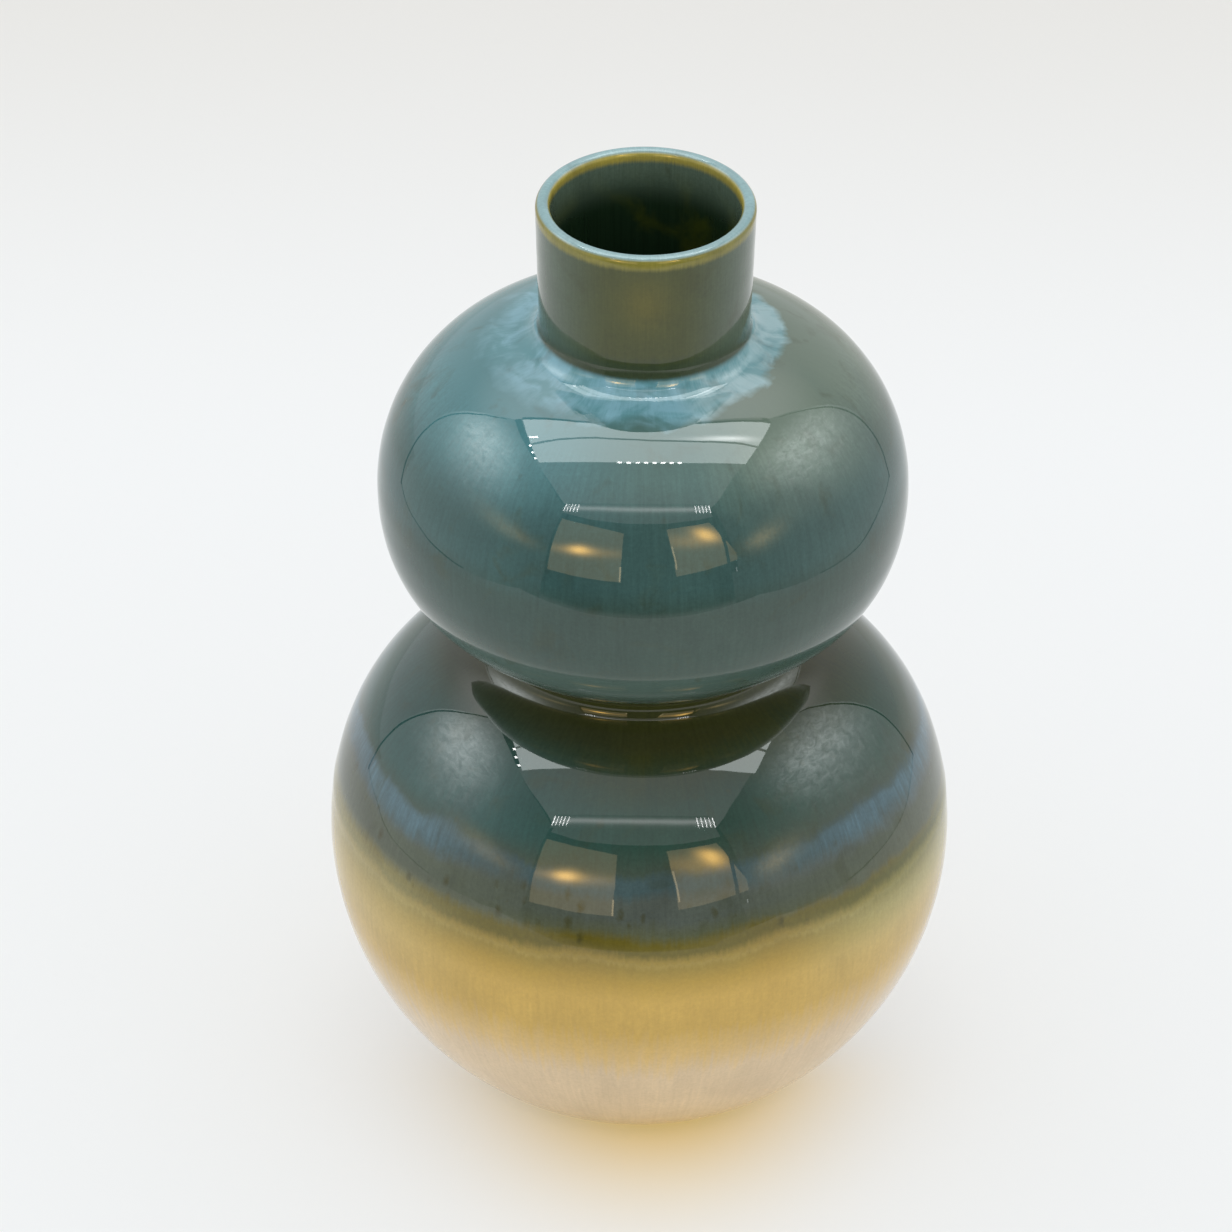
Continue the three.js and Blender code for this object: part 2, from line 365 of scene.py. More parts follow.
class Layers:
    """The faces between the fired layers, from the outside in, and the profiles cut from them."""

    def __init__(self, sizes):
        self.sizes = sizes
        outline = outside_outline(sizes)
        glaze, bond = sizes.glaze, sizes.bond
        self.outside = outline
        self.glaze_back = inset(outline, lambda h: glaze)
        self.clay_face = inset(outline, lambda h: glaze + bond)
        self.clay_back = inset(outline, lambda h: self.wall(h) - glaze - bond)
        self.liner_back = inset(outline, lambda h: self.wall(h) - glaze)
        self.hollow = inset(outline, lambda h: self.wall(h))
        self.floor = FOOT_HEIGHT + sizes.body_wall
        self.lip_foot = RIM - sizes.lip_height

    def wall(self, height):
        """The wall's thickness, which eases from the body's to the neck's."""
        share = smooth_share(NECK_JOINT - self.sizes.neck_easing, NECK_JOINT, height)
        return self.sizes.body_wall + share * (self.sizes.neck_wall - self.sizes.body_wall)

    def lip(self, outer, inner, depth):
        """The rounded top of a layer, from its outer face over to its inner face, without the ends."""
        steps = 20
        start = at_height(outer, self.lip_foot).x
        end = at_height(inner, self.lip_foot).x
        points = []
        for i in range(1, steps):
            turn = math.pi * i / steps
            radius = (start + end) / 2 + math.cos(turn) * (start - end) / 2
            points.append(Vector((radius, self.lip_foot + math.sin(turn) * (self.sizes.lip_height - depth))))
        return points

    def notch(self, height):
        """The low point of the V across a joint, half way through the clay."""
        middle = (at_height(self.clay_face, height).x + at_height(self.clay_back, height).x) / 2
        return Vector((middle, height - self.sizes.rim_notch))

    def ring_of_wall(self, low, high):
        """A stretch of clay wall with a V across both rims."""
        return [
            self.notch(low),
            *between(self.clay_face, low, high),
            self.notch(high),
            *between(self.clay_back, low, high)[::-1],
        ]

    def section(self, lower_joint, upper_joint):
        return self.ring_of_wall(lower_joint + SLIP / 2, upper_joint - SLIP / 2)

    def slip_ring(self, joint):
        return self.ring_of_wall(joint - SLIP / 2, joint + SLIP / 2)

    def bowl(self, joint):
        """The bottom half of the lower belly, with its floor."""
        high = joint - SLIP / 2
        floor = self.floor - self.sizes.glaze - self.sizes.bond
        return [
            Vector((0, FOOT_HEIGHT)),
            *between(self.clay_face, FOOT_HEIGHT, high),
            self.notch(high),
            *between(self.clay_back, floor, high)[::-1],
            Vector((0, floor)),
        ]

    def collar(self, joint):
        """The neck with its lip."""
        low = joint + SLIP / 2
        depth = self.sizes.glaze + self.sizes.bond
        return [
            self.notch(low),
            *between(self.clay_face, low, self.lip_foot),
            *self.lip(self.clay_face, self.clay_back, depth),
            *between(self.clay_back, low, self.lip_foot)[::-1],
        ]

    def foot_ring(self, low, high, rounding):
        """The foot, with its corners rubbed round."""
        outer = self.sizes.foot_radius
        inner = outer - self.sizes.foot_width
        corners = [(inner, low, 180), (outer, low, 270), (outer, high, 0), (inner, high, 90)]
        steps = 5
        points = []
        for radius, height, first in corners:
            inward = 1 if radius == inner else -1
            upward = 1 if height == low else -1
            centre = Vector((radius + inward * rounding, height + upward * rounding))
            for i in range(steps + 1):
                turn = math.radians(first + 90 * i / steps)
                points.append(centre + rounding * Vector((math.cos(turn), math.sin(turn))))
        return points

    def coat(self, low, high):
        """A band of glaze on the outside."""
        return [*between(self.outside, low, high), *between(self.glaze_back, low, high)[::-1]]

    def lip_coat(self):
        """The top glaze, which runs over the lip and a little way down inside the mouth."""
        return [
            *between(self.outside, TEAL_FOOT, self.lip_foot),
            *self.lip(self.outside, self.hollow, 0),
            *between(self.hollow, MOUTH_EDGE, self.lip_foot)[::-1],
            *between(self.liner_back, MOUTH_EDGE, self.lip_foot),
            *self.lip(self.glaze_back, self.liner_back, self.sizes.glaze)[::-1],
            *between(self.glaze_back, TEAL_FOOT, self.lip_foot)[::-1],
        ]

    def liner(self):
        """The glaze inside, floor included."""
        low = self.floor - self.sizes.glaze
        return [
            Vector((0, low)),
            *between(self.liner_back, low, MOUTH_EDGE),
            *between(self.hollow, self.floor, MOUTH_EDGE)[::-1],
            Vector((0, self.floor)),
        ]


class Signal:
    """A node's output. Sums, products and powers of it place Math nodes in its tree."""

    def __init__(self, socket):
        self.socket = socket
        self.tree = socket.id_data

    def __add__(self, other):
        return maths("ADD", self, other)

    def __sub__(self, other):
        return maths("SUBTRACT", self, other)

    def __mul__(self, other):
        return maths("MULTIPLY", self, other)

    def __truediv__(self, other):
        return maths("DIVIDE", self, other)

    def __rtruediv__(self, other):
        return maths("DIVIDE", other, self)

    def __pow__(self, power):
        return maths("POWER", self, power)

    def __abs__(self):
        return maths("ABSOLUTE", self)


def add(tree, kind, inputs=None, **settings):
    """A node with its settings, its inputs set to values or joined to signals."""
    node = tree.nodes.new(kind)
    for name, value in settings.items():
        setattr(node, name, value)
    for key, value in (inputs or {}).items():
        if isinstance(value, Signal):
            tree.links.new(value.socket, node.inputs[key])
        else:
            node.inputs[key].default_value = value
    return node


def out(tree, kind, inputs=None, output=0, **settings):
    """One output of a new node."""
    return Signal(add(tree, kind, inputs, **settings).outputs[output])


def named(node):
    """All outputs of a node, by their names."""
    return {socket.name: Signal(socket) for socket in node.outputs}


def placed(tree, group, inputs=None):
    """The outputs of a shader group placed in a tree, by their names."""
    return named(add(tree, "ShaderNodeGroup", inputs, node_tree=bpy.data.node_groups[group]))


def maths(operation, *values, clamp=False):
    """The output of a Math node, at least one of whose values is a signal."""
    tree = next(value.tree for value in values if isinstance(value, Signal))
    return out(tree, "ShaderNodeMath", dict(enumerate(values)), operation=operation, use_clamp=clamp)


def vectors(operation, first, second=None, output="Vector"):
    """The output of a Vector Math node. The second value is a number for the scale, or else a vector."""
    inputs = {0: first}
    if second is not None:
        inputs["Scale" if operation == "SCALE" else 1] = second
    return out(first.tree, "ShaderNodeVectorMath", inputs, output, operation=operation)


def xyz(vector):
    """The three parts of a vector."""
    return [Signal(part) for part in add(vector.tree, "ShaderNodeSeparateXYZ", {"Vector": vector}).outputs]


def soft_step(value, low, high):
    """0 below low, 1 above high and a soft S between them. It falls where low is the larger one."""
    inputs = {"Value": value, "From Min": low, "From Max": high}
    return out(value.tree, "ShaderNodeMapRange", inputs, interpolation_type="SMOOTHSTEP")


def falling(reach):
    """1 where the reach is 0, fading softly as it grows."""
    return maths("EXPONENT", reach * -1)


def noise(place, size, detail=2, output=0, **more):
    """A noise with swellings of about this size."""
    inputs = {"Vector": place, "Scale": 1 / size, "Detail": detail, **more}
    return out(place.tree, "ShaderNodeTexNoise", inputs, output)


def new_group(name, kind, inputs, outputs):
    """An empty node group. A socket is given by its type, or by its default value if it takes a number."""
    tree = bpy.data.node_groups.new(name, kind)
    for way, sockets in (("INPUT", inputs), ("OUTPUT", outputs)):
        for socket, given in sockets.items():
            value_type = given if isinstance(given, str) else "Float"
            made = tree.interface.new_socket(socket, in_out=way, socket_type="NodeSocket" + value_type)
            if value_type != given:
                made.default_value = given
    return tree


def noted(geometry, kind, value):
    """A geometry with a value noted on its points, and that value as later steps read it."""
    node = add(geometry.tree, "GeometryNodeCaptureAttribute", {"Geometry": geometry})
    node.capture_items.new(kind, "Noted")
    geometry.tree.links.new(value.socket, node.inputs["Noted"])
    results = named(node)
    return results["Geometry"], results["Noted"]


def wheel_tree():
    """The node tree that turns a profile into a solid and leaves the wheel's marks on it."""
    mean_radius = 80 * MM
    unmarked_core = 20 * MM
    weld = 0.002 * MM
    sharp_from = math.radians(40)
    measures = ("Wobble", "Wobble Span", "Ring Depth", "Ring Pitch", "Roll", "Roll Height", "Roll Span")
    inputs = {"Profile": "Geometry", "Around": "Int", "Seed": "Int", "Finish": "Material"}
    inputs.update(dict.fromkeys(measures, "Float"))
    tree = new_group("Turned on the wheel", "GeometryNodeTree", inputs, {"Solid": "Geometry"})
    tree.is_modifier = True
    given = named(tree.nodes.new("NodeGroupInput"))

    profile, place = noted(given["Profile"], "VECTOR", out(tree, "GeometryNodeInputPosition"))
    outline = out(tree, "GeometryNodeMeshToCurve", {"Mesh": profile})
    line = out(tree, "GeometryNodeCurvePrimitiveLine")
    path = out(tree, "GeometryNodeResampleCurve", {"Curve": line, "Count": given["Around"] + 1})
    path, share = noted(path, "FLOAT", out(tree, "GeometryNodeSplineParameter", output="Factor"))
    swept = out(tree, "GeometryNodeCurveToMesh", {"Curve": path, "Profile Curve": outline})
    turn = share * math.tau

    def spun(vector):
        inputs = {"Vector": vector, "Angle": turn}
        return out(tree, "ShaderNodeVectorRotate", inputs, rotation_type="Z_AXIS")

    turned = out(tree, "GeometryNodeSetPosition", {"Geometry": swept, "Position": spun(place)})
    radius, _, height = xyz(place)
    outward = spun((1, 0, 0))
    lift = out(tree, "ShaderNodeCombineXYZ", {"Z": height})
    spot = vectors("ADD", vectors("SCALE", outward, mean_radius), lift)
    swellings = {"Vector": spot, "W": given["Seed"], "Scale": 1 / given["Wobble Span"], "Detail": 1}
    wobble = (out(tree, "ShaderNodeTexNoise", swellings, noise_dimensions="4D") - 1) * given["Wobble"]
    climb = height / given["Ring Pitch"] * math.tau
    rings = (maths("SINE", climb - turn) - 1) * (given["Ring Depth"] / 2)
    roll = falling(((height - given["Roll Height"]) / given["Roll Span"]) ** 2) * given["Roll"]
    marks = (wobble + rings + roll) * soft_step(radius, 0, unmarked_core)
    offset = vectors("SCALE", outward, marks)
    marked = out(tree, "GeometryNodeSetPosition", {"Geometry": turned, "Offset": offset})

    closed = out(tree, "GeometryNodeMergeByDistance", {"Geometry": marked, "Distance": weld})
    smooth = out(tree, "GeometryNodeSetShadeSmooth", {"Geometry": closed})
    edge_angle = out(tree, "GeometryNodeInputMeshEdgeAngle", output="Unsigned Angle")
    sharp = maths("GREATER_THAN", edge_angle, sharp_from)
    creases = {"Geometry": smooth, "Selection": sharp, "Shade Smooth": False}
    edged = out(tree, "GeometryNodeSetShadeSmooth", creases, domain="EDGE")
    real = out(tree, "GeometryNodeRealizeInstances", {"Geometry": edged})
    finish = out(tree, "GeometryNodeSetMaterial", {"Geometry": real, "Material": given["Finish"]})
    add(tree, "NodeGroupOutput", {"Solid": finish})
    return tree


def set_inputs(modifier, values):
    """Sets a Geometry Nodes modifier's inputs by their names."""
    for item in modifier.node_group.interface.items_tree:
        if item.item_type == "SOCKET" and item.in_out == "INPUT" and item.name in values:
            modifier[item.identifier] = values[item.name]


def face_outwards(mesh):
    """Turns every face of a closed mesh outwards."""
    work = bmesh.new()
    work.from_mesh(mesh)
    bmesh.ops.recalc_face_normals(work, faces=work.faces)
    if work.calc_volume(signed=True) < 0:
        bmesh.ops.reverse_faces(work, faces=work.faces)
    work.to_mesh(mesh)
    work.free()


def turn_piece(context, name, profile, material, node, around):
    """Turns a closed profile into a piece that stands for one section and rides with the vase."""
    marks = context.scene.wheel_marks
    line = bpy.data.meshes.new(name + "_profile")
    points = [(p.x, 0, p.y) for p in profile]
    edges = [(i, i + 1) for i in range(len(points) - 1)]
    on_axis = profile[0].x == 0
    if not on_axis:
        edges.append((len(points) - 1, 0))
    line.from_pydata(points, edges, [])
    draft = bpy.data.objects.new(name + "_draft", line)
    context.scene.collection.objects.link(draft)
    modifier = draft.modifiers.new("Turned", "NODES")
    modifier.node_group = bpy.data.node_groups.get("Turned on the wheel") or wheel_tree()
    measured = ("seed", "wobble", "wobble_span", "ring_depth", "ring_pitch", "roll", "roll_span")
    values = {measure.replace("_", " ").title(): getattr(marks, measure) for measure in measured}
    values.update({"Around": around, "Roll Height": TEAL_FOOT + marks.roll_span, "Finish": material})
    set_inputs(modifier, values)
    context.view_layer.update()
    mesh = bpy.data.meshes.new_from_object(draft.evaluated_get(context.evaluated_depsgraph_get()))
    mesh.name = name
    bpy.data.objects.remove(draft)
    bpy.data.meshes.remove(line)
    if not mesh.polygons:
        raise RuntimeError(f"{name} came out empty")
    face_outwards(mesh)
    piece = bpy.data.objects.new(name, mesh)
    context.scene.collection.objects.link(piece)
    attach(piece, BODY)
    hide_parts(node)


def here(tree):
    """The point being shaded, and its three parts."""
    point = out(tree, "ShaderNodeTexCoord", output="Object")
    return [point, *xyz(point)]


def from_axis(x, y):
    """A point's distance from the vase's axis."""
    return maths("SQRT", x**2 + y**2)


def three_numbers(tint):
    """A colour given as three numbers or as the name of a glaze colour."""
    return getattr(bpy.context.scene.glaze_colours, tint) if isinstance(tint, str) else tint


def blend(share, first, second, way="MIX"):
    """Two colours mixed by a share, each a signal, three numbers or the name of a glaze colour."""
    node = add(share.tree, "ShaderNodeMix", {"Factor": share}, data_type="RGBA", blend_type=way)
    sockets = [s for s in node.inputs if s.type == "RGBA"]
    for socket, tint in zip(sockets, (first, second)):
        if isinstance(tint, Signal):
            share.tree.links.new(tint.socket, socket)
        else:
            socket.default_value = (*three_numbers(tint), 1)
    return Signal(next(s for s in node.outputs if s.type == "RGBA"))


def ramp(height, stops):
    """Colours that change with height. Each stop is a height in millimetres and a colour's name."""
    low, high = stops[0][0], stops[-1][0]
    share = (height - low * MM) / ((high - low) * MM)
    node = add(height.tree, "ShaderNodeValToRGB", {"Fac": share})
    elements = node.color_ramp.elements
    elements.remove(elements[-1])
    for i, (level, name) in enumerate(stops):
        position = (level - low) / (high - low)
        element = elements[0] if i == 0 else elements.new(position)
        element.position = position
        element.color = (*three_numbers(name), 1)
    return Signal(node.outputs["Color"])


def glaze_flow(tree, given):
    """How the glaze ran: broad clouds, fine fibres down the wall, and a fine grain."""
    mean_radius = 75 * MM
    fall_outwards = 0.6
    grain_size = 1.1 * MM
    point, x, y, z = here(tree)
    radius = from_axis(x, y)
    across = mean_radius / (given["Fibre Width"] * radius)
    along = (z - radius * fall_outwards) / given["Fibre Length"]
    run = out(tree, "ShaderNodeCombineXYZ", {"X": x * across, "Y": y * across, "Z": along})
    return {
        "Cloud": noise(point, given["Cloud Size"], 4, Distortion=0.6),
        "Fibre": noise(run, 1, 3, Roughness=0.6),
        "Grain": noise(point, grain_size, 3, Roughness=0.7),
    }


def iron_specks(tree, given):
    """Iron specks that burn through a glaze: a mask of small soft dots of uneven size."""
    squeeze = (1, 1, 0.6)
    tear_size, tear_depth = 1.5 * MM, 1.6 * MM
    soft_edge = 0.8
    left_out = 0.45
    point = here(tree)[0]
    torn = noise(point, tear_size, output="Color")
    place = vectors("ADD", vectors("MULTIPLY", point, squeeze), vectors("SCALE", torn, tear_depth))
    grid = {"Vector": place, "Scale": 1 / given["Spacing"], "Randomness": 1}
    cells = named(add(tree, "ShaderNodeTexVoronoi", grid))
    pick = named(add(tree, "ShaderNodeSeparateColor", {"Color": cells["Color"]}))
    share = given["Size"] / given["Spacing"]
    inside = share * pick["Red"] - cells["Distance"]
    edge = maths("DIVIDE", inside, share * soft_edge, clamp=True)
    return {"Mask": edge * maths("GREATER_THAN", pick["Green"], left_out)}


def glaze_skin(tree, given):
    """The surface of a fired glaze: a faint orange peel as a bump, and its roughness."""
    ripple_size, ripple_depth = 8 * MM, 0.4 * MM
    pit_size, pit_roughness = 1.4 * MM, 0.012
    point = here(tree)[0]
    ripple = noise(point, ripple_size, 1)
    bump = {"Strength": given["Peel"], "Distance": ripple_depth, "Height": ripple}
    return {
        "Normal": out(tree, "ShaderNodeBump", bump),
        "Roughness": noise(point, pit_size) * pit_roughness + given["Gloss"],
    }


def liner_run(tree, given):
    """The dark green inside, run in streaks, made a little lighter near the mouth by a painted reflection."""
    z = here(tree)[3]
    sizes = {"Cloud Size": 22 * MM, "Fibre Width": 2 * MM, "Fibre Length": 40 * MM}
    flow = placed(tree, "Glaze flow", sizes)
    dark = blend(soft_step(flow["Fibre"], 0, 1), "liner_dark", "liner")
    tinted = blend(soft_step(flow["Cloud"], 0.45, 0.65), dark, "liner_moss")
    # Painted reflection: the liner turns lighter towards the lip.
    return {"Color": blend(soft_step(z, 0.281, 0.297), tinted, "mouth")}


# From 145 to 156 mm the moss stops paint shade into the waist crease.
LOWER_STOPS = (
    (4, "cream"), (46, "cream"), (56, "biscuit"), (66, "ochre"), (79, "ochre"), (86, "honey"), (91, "syrup"),
    (92.4, "hairline"), (93.5, "syrup"), (96.2, "olive"), (98.8, "olive"), (102, "slate_green"),
    (106, "slate"), (111, "slate"), (115, "milky"), (118, "milky"), (120.5, "lichen"), (128, "deep"),
    (134, "deep"), (145, "moss"), (156, "moss"),
)
# The stops at 258.5 and 262 mm paint a dark reflection and shade into the crease at the neck's foot.
UPPER_STOPS = (
    (156, "moss"), (162, "deep"), (180, "deep"), (196, "under_teal"), (206, "under_teal"), (214, "teal"),
    (232, "teal"), (242, "shoulder"), (257, "shoulder"), (258.5, "neck_foot"), (262, "neck_foot"),
    (266, "neck"), (300, "neck"),
)


class Spot:
    """Where a point of the outside lies, and how the glaze ran there. Its heights are in millimetres."""

    def __init__(self, tree):
        self.tree = tree
        _, x, self.y, self.z = here(tree)
        self.radius = from_axis(x, self.y)
        self.side = x / maths("MAXIMUM", self.radius, MM)
        self.left = soft_step(self.side, 0.1, -0.7)
        self.right = soft_step(self.side, 0, 0.8)
        self.far_right = soft_step(self.side, 0.4, 0.9)
        flow = placed(tree, "Glaze flow")
        self.cloud = flow["Cloud"] - 0.5
        self.fibre = flow["Fibre"] - 0.5
        self.grain = flow["Grain"] - 0.5

    def above(self, low, high):
        """0 below the first height and 1 above the second, or the other way round."""
        return soft_step(self.z, low * MM, high * MM)

    def within(self, start, full, fade, end, level=None):
        """1 between two heights, with soft ends."""
        level = level or self.z
        return soft_step(level, start * MM, full * MM) * soft_step(level, end * MM, fade * MM)

    def blots(self, size):
        """Clouds of another size."""
        return placed(self.tree, "Glaze flow", {"Cloud Size": size})["Cloud"]

    def specks(self, spacing, size):
        return placed(self.tree, "Iron specks", {"Spacing": spacing, "Size": size})["Mask"]


def glaze_bands(tree, given):
    """The colour of the outside at any point, from the cream coat up to the lip."""
    at = Spot(tree)
    outside = two_bellies(at)
    for tints in (shoulder_tints, edge_tints, ochre_tints, neck_pool, neck_and_lip):
        outside = tints(at, outside)
    mossy = soft_step(at.blots(11 * MM), 0.55, 0.75) * at.above(98, 104)
    outside = blend(mossy * 0.3, outside, "moss")

    lit = (at.cloud * 0.6 + 1) * (at.fibre * 0.4 + 1) * (at.grain * 0.45 + 1)
    under_belly = at.within(150, 156, 170, 190)
    around_neck = at.within(242, 248, 257, 259)
    even = at.above(97, 85) * 0.5 + (under_belly + around_neck) * 1.4
    calm = (lit - 1) * (even * -0.6 + 1) + 1
    tone = out(tree, "ShaderNodeHueSaturation", {"Value": calm, "Color": outside})

    sparse = at.specks(10 * MM, 1.6 * MM) * 0.4
    crowded = at.specks(4 * MM, 1.9 * MM) * at.within(95, 100, 108, 119) * 0.85
    specks = maths("MAXIMUM", sparse, crowded) * at.above(94, 97)
    return {"Color": blend(specks, tone, "speck")}


def two_bellies(at):
    """The bands by height. Their edges are ragged, the break line climbs on the right, the cream fringes."""
    fibre_reach = at.above(86, 64) * (14 * MM) + 4 * MM
    ragged = at.fibre * fibre_reach + at.cloud * (8 * MM)
    low_part = ramp(at.z + at.right * (-2.5 * MM) + ragged, LOWER_STOPS)
    high_part = ramp(at.z + at.fibre * (3 * MM), UPPER_STOPS)
    return blend(at.above(152, 158), low_part, high_part)


def shoulder_tints(at, outside):
    """The coat of the upper belly is bluer on the left, partly through a painted reflection tint, olive grey
    and dry on the right, and pale below with a painted reflection of the floor.
    """
    teal_part = at.within(160, 200, 254, 258)
    high = at.above(222, 246) * teal_part
    # Painted reflection tint on the left flank.
    outside = blend(at.left * teal_part * 0.8, outside, "blue_wash", "MULTIPLY")
    outside = blend(at.left * high * 0.8, outside, "shoulder_blue")
    dry = soft_step(at.cloud * 0.9 + at.right, 0.25, 1) * high
    outside = blend(dry * 0.9, outside, "grey_green")
    # Painted floor reflection on the underside, weaker on the right.
    floor_reflection_share = at.within(162, 174, 179, 184) * (at.right * -0.7 + 1)
    return blend(floor_reflection_share, outside, "mist")


def edge_tints(at, outside):
    """Low on the teal coat, its bands turn brown and stormy towards the sides, and blue on the left."""
    outside = blend(at.left * at.within(118, 126, 138, 150) * 0.8, outside, "deep_blue")
    level = at.z + at.cloud * (12 * MM)
    aside = maths("MAXIMUM", at.left, at.right)
    outside = blend(at.within(101, 104, 110, 114, level) * aside * 0.8, outside, "stain")
    far_aside = soft_step(abs(at.side), 0.45, 0.8)
    broken = maths("ADD", at.fibre * 1.6, 0.7, clamp=True)
    return blend(at.within(111, 118.5, 119, 121.5, level) * far_aside * broken, outside, "storm")


def ochre_tints(at, outside):
    """The ochre is dry on the right, and paler towards both sides with a painted sheen."""
    outside = blend(at.far_right * at.within(75, 90, 98, 104) * 0.85, outside, "dry_wash", "MULTIPLY")
    # Painted sheen towards both flanks.
    both_sides = maths("MAXIMUM", soft_step(at.side, -0.45, -0.9), at.far_right)
    top = soft_step(at.z + at.far_right * (9 * MM), 0.104, 0.096)
    return blend(both_sides * at.above(62, 82) * top * 0.35, outside, "straw")


def neck_pool(at, outside):
    """Light blue pools where the coat gathered around the neck, wider on the left."""
    blots = at.blots(8 * MM)
    edge = at.side * (-3.5 * MM) + 46.5 * MM + at.cloud * (16 * MM) + (blots - 0.5) * (7 * MM)
    softness = at.side * (-3 * MM) + 5.5 * MM
    inside = maths("DIVIDE", edge - at.radius, softness, clamp=True)
    light = blend(soft_step(at.side, 0.2, 0.5), "pool", "pool_pale")
    blue = blend(soft_step(at.fibre * 0.16 + blots, 0.34, 0.64), "pool_deep", light)
    return blend(inside * at.within(240, 246, 256.5, 258.8) * 0.92, outside, blue)


def neck_and_lip(at, outside):
    """The neck is grey green at its sides with an amber patch in front, and the lip is amber and blue, with a
    painted highlight on its inner edge.
    """
    grey_sides = at.above(258.5, 264.5) * soft_step(abs(at.side), 0.3, 0.9)
    outside = blend(grey_sides * 0.85, outside, "neck_side")
    patch_height, patch_rise, patch_width = 0.284, 9 * MM, 0.22
    warm_patch = falling((at.side / patch_width) ** 2 + ((at.z - patch_height) / patch_rise) ** 2)
    front = maths("LESS_THAN", at.y, 0)
    outside = blend(warm_patch * front * 0.7, outside, "amber_patch")

    in_mouth = soft_step(at.radius, 30.4 * MM, 29.6 * MM)
    outside = blend(in_mouth, outside, placed(at.tree, "Liner run")["Color"])
    # Towards the inside, the lip's amber turns into a painted highlight.
    inner = soft_step(at.radius, 31.2 * MM, 30.6 * MM)
    ragged = at.fibre * (1.2 * MM) + inner * (-0.5 * MM) + at.z
    thick = maths("ADD", at.cloud * 0.8, 0.95, clamp=True)
    outside = blend(soft_step(ragged, 0.2952, 0.2972) * thick, outside, blend(inner, "amber", "gold"))
    return blend(at.above(298.9, 299.7), outside, "lip")


SHADER_GROUPS = {
    "Glaze flow": (
        glaze_flow,
        {"Cloud Size": 30 * MM, "Fibre Width": 1.2 * MM, "Fibre Length": 14 * MM},
        {"Cloud": "Float", "Fibre": "Float", "Grain": "Float"},
    ),
    "Iron specks": (iron_specks, {"Spacing": 9 * MM, "Size": 0.9 * MM}, {"Mask": "Float"}),
    "Glaze skin": (glaze_skin, {"Peel": 0.05, "Gloss": 0.07}, {"Normal": "Vector", "Roughness": "Float"}),
    "Liner run": (liner_run, {}, {"Color": "Color"}),
    "Glaze bands": (glaze_bands, {}, {"Color": "Color"}),
}


def prepare_groups():
    """Builds the shader groups that the finishes share, unless they are there already."""
    for name, (fill, inputs, outputs) in SHADER_GROUPS.items():
        if name not in bpy.data.node_groups:
            tree = new_group(name, "ShaderNodeTree", inputs, outputs)
            add(tree, "NodeGroupOutput", fill(tree, named(tree.nodes.new("NodeGroupInput"))))


def new_material(name):
    """A material and its tree, still empty."""
    material = bpy.data.materials.new(name)
    material.use_nodes = True
    material.node_tree.nodes.clear()
    return material, material.node_tree


def glassy(name, group, gloss):
    """A fired glaze, coloured by one of the groups."""
    material, tree = new_material(name)
    skin = placed(tree, "Glaze skin", {"Gloss": gloss})
    look = {"Base Color": placed(tree, group)["Color"], "IOR": 1.52, **skin}
    add(tree, "ShaderNodeOutputMaterial", {"Surface": out(tree, "ShaderNodeBsdfPrincipled", look)})
    return material


def fired_clay(name, tint):
    """Bare fired clay with sand and iron in it."""
    cloudy, iron = 0.72, 0.2
    material, tree = new_material(name)
    flow = placed(tree, "Glaze flow", {"Cloud Size": 18 * MM, "Fibre Width": 2 * MM, "Fibre Length": 2 * MM})
    specks = placed(tree, "Iron specks", {"Spacing": 2.6 * MM, "Size": 0.6 * MM})["Mask"]
    base = three_numbers(tint)
    body = blend(flow["Cloud"], base, [cloudy * c for c in base])
    spotted = blend(specks * 0.6, body, [iron * c for c in base])
    sand = {"Strength": 0.5, "Distance": 0.15 * MM, "Height": flow["Grain"]}
    look = {"Base Color": spotted, "Roughness": 0.9, "Normal": out(tree, "ShaderNodeBump", sand)}
    add(tree, "ShaderNodeOutputMaterial", {"Surface": out(tree, "ShaderNodeBsdfPrincipled", look)})
    return material


class VASE_OT_clay_sections(Operator):
    """Turn the six clay sections and the rings of slip that join them"""

    bl_idname = "vase.clay_sections"
    bl_label = "Clay sections"

    def execute(self, context):
        prepare_groups()
        layers = Layers(context.scene.vase_sizes)
        around = context.scene.wheel_marks.around_clay
        foot_joint = FOOT_HEIGHT - SLIP
        foot_rounding, slip_rounding = 0.7 * MM, 0.2 * MM
        sections = {
            "foot_ring": layers.foot_ring(0, foot_joint, foot_rounding),
            "lower_bowl": layers.bowl(LOWER_WIDEST),
            "lower_shoulder": layers.section(LOWER_WIDEST, WAIST_JOINT),
            "upper_bowl": layers.section(WAIST_JOINT, UPPER_WIDEST),
            "upper_shoulder": layers.section(UPPER_WIDEST, NECK_JOINT),
            "neck_collar": layers.collar(NECK_JOINT),
        }
        joints = {
            "foot_slip": layers.foot_ring(foot_joint, FOOT_HEIGHT, slip_rounding),
            "lower_belly_slip": layers.slip_ring(LOWER_WIDEST),
            "waist_slip": layers.slip_ring(WAIST_JOINT),
            "upper_belly_slip": layers.slip_ring(UPPER_WIDEST),
            "neck_slip": layers.slip_ring(NECK_JOINT),
        }
        for slot, profiles in (("clay", sections), ("slip", joints)):
            material = fired_clay("Fired " + slot, slot)
            for node, profile in profiles.items():
                turn_piece(context, "turned_" + node, profile, material, node, around)
        return {"FINISHED"}


